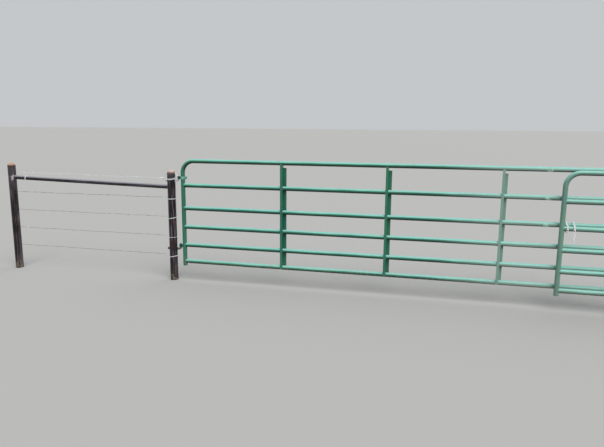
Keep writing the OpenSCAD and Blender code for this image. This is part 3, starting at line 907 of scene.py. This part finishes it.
barb_recipe = barbs()
print("recipe:", barb_recipe.tree.name)

# %% [markdown]
# A weld bead laid by hand is a row of small overlapping pools. The recipe sweeps a thin core
# along the seam and sets a flattened ball at each pool, with its size varied by a seeded random
# number. Balls of 40 faces are enough, since there are hundreds of them.

# %% Recipe for weld beads
CORE_SIDES = 6
CORE_SHARE = 0.36
CORE_STEP_SHARE = 0.6
POOL_SEGMENTS, POOL_RINGS = 8, 5
POOL_SIZES = (0.82, 1.1)
POOL_FLATNESS = 0.62


def weld_bead():
    recipe = Recipe("weld_bead", Width=0.006, Spacing=0.0032, Seed=7)
    width = recipe.read("Width")
    core = recipe.swept(recipe.fine(recipe.curves, width * CORE_STEP_SHARE),
                        recipe.circle(width * CORE_SHARE, CORE_SIDES))
    points, along = recipe.marks(recipe.curves, recipe.read("Spacing"))
    ball = recipe.add("GeometryNodeMeshUVSphere", {}, {
        "Segments": POOL_SEGMENTS, "Rings": POOL_RINGS, "Radius": width * 0.5})
    size = recipe.chance(*POOL_SIZES)
    pools = recipe.add("GeometryNodeInstanceOnPoints", {}, {
        "Points": points, "Instance": ball, "Rotation": along,
        "Scale": recipe.point(size, size, size * POOL_FLATNESS)})
    recipe.give(recipe.add("GeometryNodeJoinGeometry", {}, {"Geometry": [core, pools]}))
    return recipe


weld_recipe = weld_bead()
print("recipe:", weld_recipe.tree.name)

# %% [markdown]
# The fence has five strands at even heights, counted down from the top one, which has to clear
# the nuts of the upper hinge bolt. A strand passes behind both posts, so how far back it lies
# follows from each post's radius and the wire's own thickness. A seat of a third of a millimetre
# keeps a wire from sinking into what carries it. The third and the fifth strand slant on the post.

# %% Places of the strands
SEAT = 0.0003
WIRE = 0.005
WIRE_GAP = 0.2365
WIRE_COUNT = 5
WIRE_RISE = 0.018
WIRE_OVER_BOLT = 0.0205
TURN_SLANTS = (0, 0, math.radians(8), 0, math.radians(8))

top_wire_z = left.bolt_z + WIRE_OVER_BOLT
strand_z = [top_wire_z - k * WIRE_GAP for k in range(WIRE_COUNT)]
turn_r = [(left.post_r + SEAT / 2 + WIRE / 2) / math.cos(slant) for slant in TURN_SLANTS]
strand_back = [r + WIRE + SEAT for r in turn_r]
brace_back = left.brace_r + SEAT + WIRE / 2
print("strands at", [round(z, 3) for z in strand_z], "m")

# %% [markdown]
# Each strand comes from its clip behind the brace post, passes behind the hinge post, is wound
# round it up to three times and then back onto itself. The winding is a spiral. Its radius first
# shrinks from the strand's line to the post's face, and it moves on by a little more than the
# wire's thickness each time round. Slanted turns stand higher on the leaf's side, and the highest
# ones sag in front, between the nuts of the hinge bolt. The wire's end makes a tight coil round
# the strand, and its tip stands off.

# %% Fence strands and their ties
ARC_STEP = 6
TURNS = (2.75, 1.75, 1.75, 0.75, 1.75)
TURN_PITCH = WIRE * 1.12
TURN_CLOSED = 60
TURN_SAG = 0.014
LEAVING_GAP = 0.003
LEAVING_SHARE = 0.6
TIE_START, TIE_END = 0.062, 0.094
STRAND_TAIL = 0.0286
TIP_ON, TIP_NEARER, TIP_DOWN = 0.004, 0.001, 0.016
WANDER = 0.010


def on_circle(radius, angle):
    """The two legs of a radius at an angle in degrees: along its start, and square to that."""
    turn = math.radians(angle)
    return radius * math.cos(turn), radius * math.sin(turn)


def strand_path(side, k):
    """From the cut end behind the brace post, round the hinge post and back to its own tie."""
    z, back, slant = strand_z[k], strand_back[k], math.tan(TURN_SLANTS[k])
    rise, pitch, sag = (WIRE_RISE, TURN_PITCH, TURN_SAG) if k == 0 else (0, -TURN_PITCH, 0)
    path = [side.at(-side.span - STRAND_TAIL, brace_back, z + rise),
            side.at(-side.span, brace_back, z + rise), side.at(-TIE_END, back, z)]
    for wound in range(0, round(TURNS[k] * 360) + 1, ARC_STEP):
        closing = min(1, wound / TURN_CLOSED)
        radius = back + (turn_r[k] - back) * closing
        behind, out = on_circle(radius, wound)
        front = max(0, -behind / radius)
        climb = out * slant * closing + pitch * wound / 360 - sag * front
        path.append(side.at(out, behind, z + climb))
    path.append(side.at(-turn_r[k] - LEAVING_GAP, back * LEAVING_SHARE, z + climb * LEAVING_SHARE))
    path.append(side.at(-TIE_START, back - WIRE / 2, z))
    return path, False


def tie_path(side, k):
    """The stretch of the strand that its end is tied round."""
    return [side.at(-TIE_START, strand_back[k], strand_z[k]),
            side.at(-TIE_END, strand_back[k], strand_z[k])], False


def tip_path(side, k):
    """The last bit of wire, which stands off below the tie."""
    back, z = strand_back[k], strand_z[k]
    return [side.at(-TIE_END, back + WIRE / 2, z - WIRE / 2),
            side.at(-TIE_END - TIP_ON, back - TIP_NEARER, z - TIP_DOWN)], False


def make_wire(side, name, recipe, paths, finish=fence_zinc, **sizes):
    """A piece of wire that stays with the posts."""
    return make(f"{side.name}_{name}", recipe, "posts", "fence_wire", finish, paths, **sizes)


for side in SIDES:
    strands = [strand_path(side, k) for k in range(WIRE_COUNT)]
    ties = [tie_path(side, k) for k in range(WIRE_COUNT)]
    tips = [tip_path(side, k) for k in range(WIRE_COUNT)]
    piece = make_wire(side, "wire_strands", twist_recipe, strands, Lay=0.055, Wander=WANDER)
    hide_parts(side.name + "_fence_wires")
    make_wire(side, "wire_ties", coil_recipe, ties, Radius=WIRE * 0.75)
    make_wire(side, "wire_tips", twist_recipe, tips, Count=1, Step=0.004)

# %% [markdown]
# The barbs are given the strands' own paths and the same slack. They start and end short of the
# clip and the tie, so that none lands on the post's turn.

# %% Barbs
BARB_SEED = 11

for seed, side in enumerate(SIDES, BARB_SEED):
    strands = [strand_path(side, k) for k in range(WIRE_COUNT)]
    make_wire(side, "wire_barbs", barb_recipe, strands, Seed=seed, Wander=WANDER)

# %% [markdown]
# A clip is a thin rod bent round the strand, with both legs welded to the back of the brace
# post. Its path is two straight legs and a half circle, and a ring of weld holds each leg.

# %% Clips behind the brace posts
CLIP_WIRE = 0.006
CLIP_ARC_STEP = 15
clip_r = WIRE / 2 + SEAT + CLIP_WIRE / 2
clip_z = [strand_z[0] + WIRE_RISE] + strand_z[1:]


def clip_path(side, z):
    """Out along the lower leg, round the strand at height z, and back along the upper leg."""
    foot = math.sqrt(side.brace_r ** 2 - (CLIP_WIRE / 2) ** 2) - SEAT
    path = [side.at(-side.span, foot, z - clip_r)]
    for angle in range(-90, 91, CLIP_ARC_STEP):
        back, up = on_circle(clip_r, angle)
        path.append(side.at(-side.span, brace_back + back, z + up))
    path.append(side.at(-side.span, foot, z + clip_r))
    return path, False


for side in SIDES:
    make_wire(side, "wire_clips", twist_recipe, [clip_path(side, z) for z in clip_z],
              Wire=CLIP_WIRE, Count=1, Step=0.0015, Sides=10)

# %% [markdown]
# A bent wire runs smoothly through its bends. Between each pair of bends a cubic curve does that,
# whose slopes follow from the bends before and after, so there are no handles to set.

# %% A smooth curve through bends
CURVE_STEPS = 8


def smooth(points):
    """Points of a curve that passes through all the given ones."""
    curve = []
    for i in range(len(points) - 1):
        a, b = points[max(i - 1, 0)], points[i]
        c, d = points[i + 1], points[min(i + 2, len(points) - 1)]
        for t in (j / CURVE_STEPS for j in range(CURVE_STEPS)):
            curve.append(b + ((c - a) * t + (2 * a - 5 * b + 4 * c - d) * t ** 2
                              + (3 * b - a - 3 * c + d) * t ** 3) / 2)
    return curve + [points[-1]]


print("a curve takes", CURVE_STEPS, "steps from one bend to the next")

# %% [markdown]
# The keeper wire is a doubled wire that someone wound by hand: a few turns on the top strand, behind the
# cap, and once round the upper hinge pin, so that the leaf can't be lifted off. Its course is a list of
# given bends, each with its angle round the post, its distance from the post's face and its height.

# %% Keeper wires
KEEPER = 0.008
KEEPER_START = 0.150
KEEPER_STRAIGHT, KEEPER_LIFT = 0.025, 0.002
KEEPER_TIE_ENDS = (-0.022, 0.004)
PIN_PLAY = 0.0005
PIN_TURN = 315
PIN_TURN_STEP = 30
PIN_TURN_RISE = KEEPER + 0.001


def over_strap(side):
    """The height at which a keeper wire lies on the side's hinge strap."""
    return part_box(side.name + "_upper_strap")[1].z + SEAT + KEEPER / 2


def keeper_path(side):
    """The course of one keeper wire from the top strand to the end of its turn round the pin."""
    start_z = top_wire_z + WIRE_RISE * KEEPER_START / side.span + WIRE / 2 + KEEPER / 2 + SEAT
    course = [side.at(-KEEPER_START, strand_back[0], start_z),
              side.at(-KEEPER_START + KEEPER_STRAIGHT, strand_back[0], start_z + KEEPER_LIFT)]
    bends = ((25, 0.063, top_wire_z + 0.023), (18, 0.041, side.post_top - 0.012),
             (20, 0.024, side.post_top + 0.010), (48, 0.014, side.post_top + 0.022),
             (90, 0.013, side.post_top + 0.018), (132, 0.0095, side.post_top),
             (164, 0.014, over_strap(left) + 0.016))
    for angle, off, z in bends:
        inward, back = on_circle(side.post_r + off, angle)
        course.append(side.at(-inward, back, z))
    loop = side.bolt_r + PIN_PLAY + SEAT + KEEPER / 2
    for angle in range(0, PIN_TURN + 1, PIN_TURN_STEP):
        back, out = on_circle(loop, angle)
        rise = PIN_TURN_RISE * (1 - angle / PIN_TURN)
        course.append(side.at(side.pin_out + out, back, over_strap(side) + rise))
    return smooth(course), False


for side in SIDES:
    piece = make_wire(side, "keeper_twist", twist_recipe, [keeper_path(side)], keeper_zinc,
                      Wire=KEEPER / 2, Lay=0.024, Step=0.0025, Sides=8)
    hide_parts(side.name + "_keeper_wire")
    tie = [side.at(-KEEPER_START + end, strand_back[0], top_wire_z) for end in KEEPER_TIE_ENDS]
    make_wire(side, "keeper_tie", coil_recipe, [(tie, False)], keeper_zinc,
              Wire=KEEPER / 2, Radius=WIRE / 2 + KEEPER / 4, Pitch=0.0048, Sides=8)

# %% [markdown]
# A few turns of tie wire are wound round the brace rail, some way from the brace post. The rail
# falls towards the hinge post, so the coil's path follows the rail's own axis, a straight line
# between its heights at the two posts.

# %% Tie wire round the brace rails
BRACE_LOW_Z = 1.149
BRACE_TIE_OUT, BRACE_TIE_LONG = 0.206, 0.0125
TIE_WIRE = 0.0032
TIE_OUT_SHARE = 0.4


def brace_axis(side, from_brace):
    """The point of the brace rail's axis at a distance from the brace post's axis."""
    share = from_brace / side.span
    return side.at(-side.span + from_brace, 0, BRACE_HIGH_Z + (BRACE_LOW_Z - BRACE_HIGH_Z) * share)


for side in SIDES:
    tie = [brace_axis(side, BRACE_TIE_OUT), brace_axis(side, BRACE_TIE_OUT + BRACE_TIE_LONG)]
    make_wire(side, "brace_tie", coil_recipe, [(tie, False)],
              Wire=TIE_WIRE, Radius=side.rail_r + TIE_WIRE * TIE_OUT_SHARE, Pitch=0.0036)

# %% [markdown]
# The hinge bolts are threaded where they stand out of their nuts, at the fence side and between
# the post and the elbow. A coil of small three-sided wire, half sunk in the bolt, is the thread.

# %% Threads on the hinge bolts
THREAD_PITCH = 0.0024
THREAD_WIRE = 0.0021
THREAD_SINK = 0.0002
THREAD_SHORT = 0.0008
THREAD_TO = 0.079


def thread_paths(side, bolt):
    """A bolt's two bare stretches: outside the fence side's nut, and from the other to the elbow."""
    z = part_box(f"{side.name}_{bolt}")[0].z + side.bolt_r
    end_out = abs(side.edge(bolt, -1) - side.post.x)
    nut_low, nut_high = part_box(side.name + "_hinge_nuts")
    nut_out = (nut_high.x - nut_low.x) / 2
    return [([side.at(-end_out + THREAD_SHORT, 0, z), side.at(-nut_out, 0, z)], False),
            ([side.at(nut_out, 0, z), side.at(THREAD_TO, 0, z)], False)]


for side in SIDES:
    for hinge, finish in (("lower", bolt_dark), ("upper", bolt_zinc)):
        make(f"{side.name}_{hinge}_threads", coil_recipe, "posts", "zinc_iron", finish,
             thread_paths(side, hinge + "_hinge_bolt"), Wire=THREAD_WIRE,
             Radius=side.bolt_r - THREAD_SINK, Pitch=THREAD_PITCH, Sides=3)

# %% [markdown]
# Where a round pipe meets a round post, its end is cut to a saddle and welded all round. The
# seam is the line where the two cylinders cross, so it follows a formula: go round the pipe,
# and push each point along the pipe's axis until it is on the post's face.

# %% Seam lines
SEAM_STEP = 6
WELDED_RAILS = range(2, 7)


def saddle(axis_point, along, pipe_r, post_x, post_y, post_r, facing):
    """The closed seam of a pipe and an upright post. Facing is the side of the post, +1 or -1."""
    along = along.normalized()
    rise = along.cross(Vector((0, 1, 0))) * (1 if along.x < 0 else -1)
    seam = []
    for angle in range(0, 360, SEAM_STEP):
        back, up = on_circle(pipe_r, angle)
        ring = axis_point + Vector((0, back, 0)) + rise * up
        reach = math.sqrt(max(post_r ** 2 - (ring.y - post_y) ** 2, 0))
        seam.append(ring + along * ((post_x + facing * reach - ring.x) / along.x))
    return seam, True


def rail_seams(side):
    """Both ends of the five welded rails of a leaf."""
    seams = []
    for number in WELDED_RAILS:
        low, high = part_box(f"{side.name}_rail_{number}")
        middle = Vector(((low.x + high.x) / 2, side.leaf_y, (low.z + high.z) / 2))
        for post_x, facing in zip(side.uprights, (1, -1)):
            seams.append(saddle(middle, Vector((1, 0, 0)), side.tube_r + SEAT, post_x, side.leaf_y,
                                side.tube_r + SEAT * 2, facing))
    return seams


print("a rail's seam has", 360 // SEAM_STEP, "points")

# %% [markdown]
# On a leaf, the rails are welded to both uprights, each stay is tacked to the rails that pierce
# it, and the lower hinge eye is welded to its upright with one bead on each side. All of these
# were painted over, so they take the leaf's own paint.

# %% Welds on the leaves
STAYS = range(1, 4)
STAY_FRONT = 0.026
TACK_OUT = 0.0028
TACK_ARCS = ((205, 250), (290, 335))
TACK_STEP = 5
EYE_HALF = 0.005
EYE_BEAD_OUT = 0.0012
EYE_BEAD_SINK = 0.0002


def stay_tacks(side):
    """Two short beads at each rail that a stay crosses, on the open side of its web."""
    tacks = []
    for stay in STAYS:
        x = side.edge(f"stay_{stay}", -1) + side.way * (STAY_FRONT + TACK_OUT)
        for rail in WELDED_RAILS:
            low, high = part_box(f"{side.name}_rail_{rail}")
            z = (low.z + high.z) / 2
            for start, end in TACK_ARCS:
                arc = [on_circle(side.tube_r, angle) for angle in range(start, end, TACK_STEP)]
                tacks.append(([Vector((x, side.leaf_y + back, z + up)) for up, back in arc], False))
    return tacks


def eye_seams(side):
    """One upright bead on each side of the lower hinge eye, on the face of its upright."""
    low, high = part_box(side.name + "_lower_eye")
    x = side.edge("frame", -1) + side.way * EYE_BEAD_SINK
    return [([Vector((x, side.leaf_y + off, z)) for z in (low.z, high.z)], False)
            for off in (-EYE_HALF - EYE_BEAD_OUT, EYE_HALF + EYE_BEAD_OUT)]


for side in SIDES:
    make(side.name + "_leaf_welds", weld_recipe, side.name + "_leaf", "green_paint",
         leaf_paints[side.name], rail_seams(side) + stay_tacks(side) + eye_seams(side), Spacing=0.0042)

# %% [markdown]
# On the posts, the brace rail is welded at both ends, the hinge post's cap is welded on all
# round, and each leg of a wire clip has its own small ring of weld. Nobody painted these, so
# they are grey and rusty.

# %% Welds on the posts
CAP_WELD_SINK = 0.0008
CLIP_BEAD = 0.003
CLIP_RING_STEP = 15


def post_seams(side):
    """Both ends of the brace rail, and the foot of the hinge post's cap."""
    start, end = brace_axis(side, 0), brace_axis(side, side.span)
    cap_ring = [side.at(*on_circle(side.post_r - CAP_WELD_SINK, angle), side.post_top + SEAT / 2)
                for angle in range(0, 360, SEAM_STEP)]
    return [saddle(start, end - start, side.rail_r, side.brace_x, side.post.y, side.brace_r, side.way),
            saddle(start, end - start, side.rail_r, side.post.x, side.post.y, side.post_r, -side.way),
            (cap_ring, True)]


def clip_rings(side):
    """A ring round each leg of each wire clip, which follows the round back of the brace post."""
    rings = []
    for z in [clip + leg for clip in clip_z for leg in (-clip_r, clip_r)]:
        ring = []
        for angle in range(0, 360, CLIP_RING_STEP):
            off, up = on_circle(CLIP_WIRE / 2 + CLIP_BEAD / 4, angle)
            back = math.sqrt(side.brace_r ** 2 - off ** 2)
            ring.append(side.at(-side.span + off, back, z + up))
        rings.append((ring, True))
    return rings


for side in SIDES:
    make(side.name + "_post_welds", weld_recipe, "posts", "rusty_pipe", post_weld,
         post_seams(side), Width=0.008, Spacing=0.0048)
    make(side.name + "_clip_welds", weld_recipe, "posts", "rusty_pipe", post_weld,
         clip_rings(side), Width=CLIP_BEAD, Spacing=0.0016)
